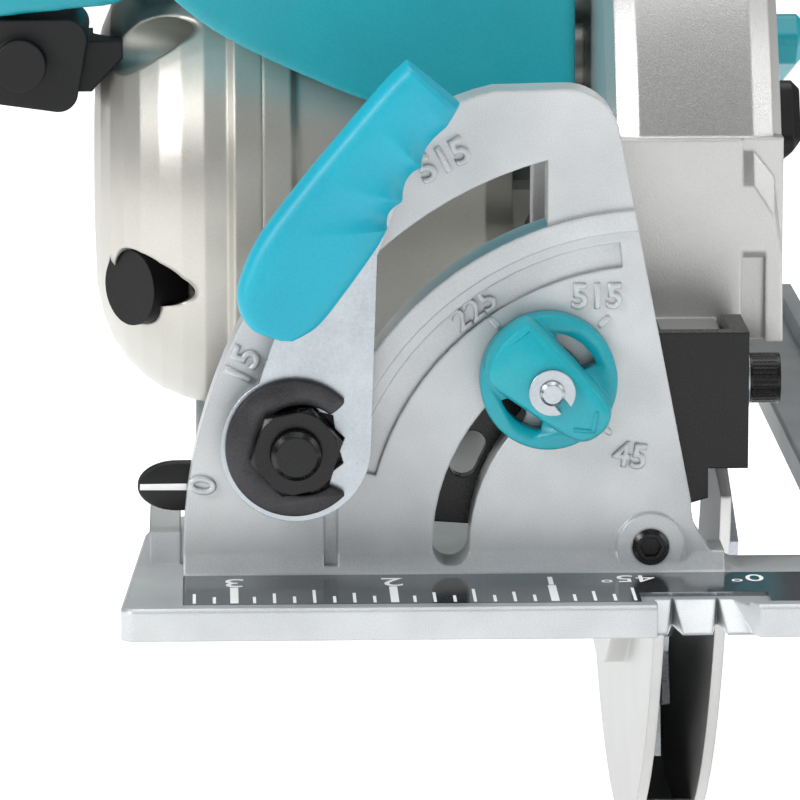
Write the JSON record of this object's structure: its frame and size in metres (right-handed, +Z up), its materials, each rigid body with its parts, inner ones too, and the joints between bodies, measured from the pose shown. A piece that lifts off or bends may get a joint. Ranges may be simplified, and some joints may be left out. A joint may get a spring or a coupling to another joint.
{
  "type": "circular saw",
  "caption": "Rear-handle circular saw with the blade on the left of the motor, on a tilting cast base with a bevel quadrant, depth guide and swinging lower guard.",
  "frame": {"origin": "on the sole of the base, in the blade's plane and the middle plane of the bevel quadrant", "axes": "+Z up from the sole; +Y along the cut towards the operator; +X from the motor towards the blade's free side"},
  "size_m": [0.1609, 0.448, 0.2461],
  "materials": {
    "painted_casting": "die-cast, silver-grey paint with fine flake",
    "bright_casting": "die-cast, bright silver paint",
    "black_steel": "pressed steel, black oxide or paint",
    "zinc_steel": "steel, bright zinc plate",
    "tool_steel": "ground steel",
    "rule_print": "anodised strip with printed scale",
    "teal_plastic": "glass-filled nylon, moulded",
    "teal_rubber": "moulded soft rubber",
    "black_plastic": "moulded, fine grain",
    "black_rubber": "moulded",
    "dark_clip_steel": "spring steel, dark grey finish",
    "lamination": "stacked steel sheet",
    "copper": "enamelled copper",
    "carbon": "pressed carbon"
  },
  "bodies": {
    "base": {"base_plate": "painted_casting", "front_rule": "rule_print", "pivot_pins": "black_steel", "stop_knob_pin": "zinc_steel", "stop_knob_ring": "zinc_steel", "fence_screw": "black_plastic"},
    "stop_selector": {"stop_knob": "teal_plastic"},
    "bevel_frame": {"bevel_plate": "black_steel", "bevel_bolt": "black_steel", "bevel_pointer": "black_plastic", "depth_pivot_screw": "black_steel", "depth_pivot_washer": "zinc_steel", "rear_bracket": "black_steel", "depth_guide": "zinc_steel", "depth_guide_rivets": "zinc_steel"},
    "bevel_lever": {"bevel_nut": "black_steel", "bevel_lever_plate": "zinc_steel", "bevel_lever_clip": "dark_clip_steel", "bevel_lever_grip": "teal_rubber"},
    "saw_body": {"upper_guard": "bright_casting", "depth_clamp_bolt": "zinc_steel", "guard_bumper": "black_rubber", "guard_spring": "tool_steel", "gear_housing": "bright_casting", "gear_cover": "bright_casting", "gear_cover_screws": "black_steel", "oil_plug": "black_rubber", "spindle_bearings": "tool_steel", "motor_housing": "teal_plastic", "stator_core": "lamination", "field_coils": "copper", "brush_holders": "copper", "carbon_brushes": "carbon", "brush_caps": "black_plastic", "motor_bearings": "tool_steel", "handle_left": "teal_plastic", "handle_right": "teal_plastic", "handle_screws": "black_steel", "switch_unit": "black_plastic", "cord_inlet": "black_rubber", "front_handle": "teal_plastic", "front_handle_screws": "black_steel", "handle_end_mount": "black_plastic"},
    "depth_lever": {"depth_lever": "teal_plastic"},
    "blade_assembly": {"saw_blade": "tool_steel", "spindle": "tool_steel", "ring_gear": "tool_steel", "inner_flange": "zinc_steel", "outer_flange": "zinc_steel", "blade_bolt": "black_steel"},
    "armature": {"armature_shaft": "tool_steel", "armature_core": "lamination", "commutator": "copper", "cooling_fan": "black_plastic"},
    "lower_guard": {"lower_guard": "bright_casting", "lower_guard_arm": "zinc_steel", "lower_guard_grip": "teal_plastic"},
    "trigger": {"trigger": "black_plastic"},
    "spindle_lock": {"spindle_lock": "black_plastic"}
  },
  "joints": [
    {"name": "bevel_tilt", "type": "hinge", "parent": "base", "child": "bevel_frame", "pos_m": [-0.0085, 0.12, 0.0091], "axis": [0, 1, 0], "range_deg": [0, 51.5]},
    {"name": "depth_swing", "type": "hinge", "parent": "bevel_frame", "child": "saw_body", "pos_m": [0, 0.02, 0.032], "axis": [1, 0, 0], "range_deg": [0, 33]},
    {"name": "bevel_lever_turn", "type": "hinge", "parent": "bevel_frame", "child": "bevel_lever", "pos_m": [-0.06591, 0, 0.0272], "axis": [0, 1, 0], "range_deg": [-60, 0]},
    {"name": "stop_select", "type": "hinge", "parent": "base", "child": "stop_selector", "pos_m": [-0.0253, 0, 0.037], "axis": [0, 1, 0], "range_deg": [-90, 0]},
    {"name": "depth_lever_turn", "type": "hinge", "parent": "saw_body", "child": "depth_lever", "pos_m": [0.02, 0.21333, 0.05745], "axis": [1, 0, 0], "range_deg": [-45, 0]},
    {"name": "blade_spin", "type": "hinge", "parent": "saw_body", "child": "blade_assembly", "pos_m": [0, 0.132, 0.03], "axis": [1, 0, 0], "continuous": true},
    {"name": "motor_spin", "type": "hinge", "parent": "saw_body", "child": "armature", "pos_m": [-0.062, 0.2, 0.0445], "axis": [0, 1, 0], "continuous": true},
    {"name": "lower_guard_swing", "type": "hinge", "parent": "saw_body", "child": "lower_guard", "pos_m": [0, 0.132, 0.03], "axis": [1, 0, 0], "range_deg": [0, 150], "stiffness_Nm_per_rad": 0.12, "springref_deg": -68.75},
    {"name": "trigger_pull", "type": "hinge", "parent": "saw_body", "child": "trigger", "pos_m": [-0.062, 0.308, 0.113], "axis": [1, 0, 0], "range_deg": [0, 6], "stiffness_Nm_per_rad": 1, "springref_deg": -5.73},
    {"name": "lock_press", "type": "slide", "parent": "saw_body", "child": "spindle_lock", "axis": [0, 1, 0], "range_m": [0, 0.003], "stiffness_N_per_m": 400, "springref_m": -0.003}
  ],
  "couplings": [
    {"joint": "motor_spin", "follows": "blade_spin", "ratio": -5}
  ]
}
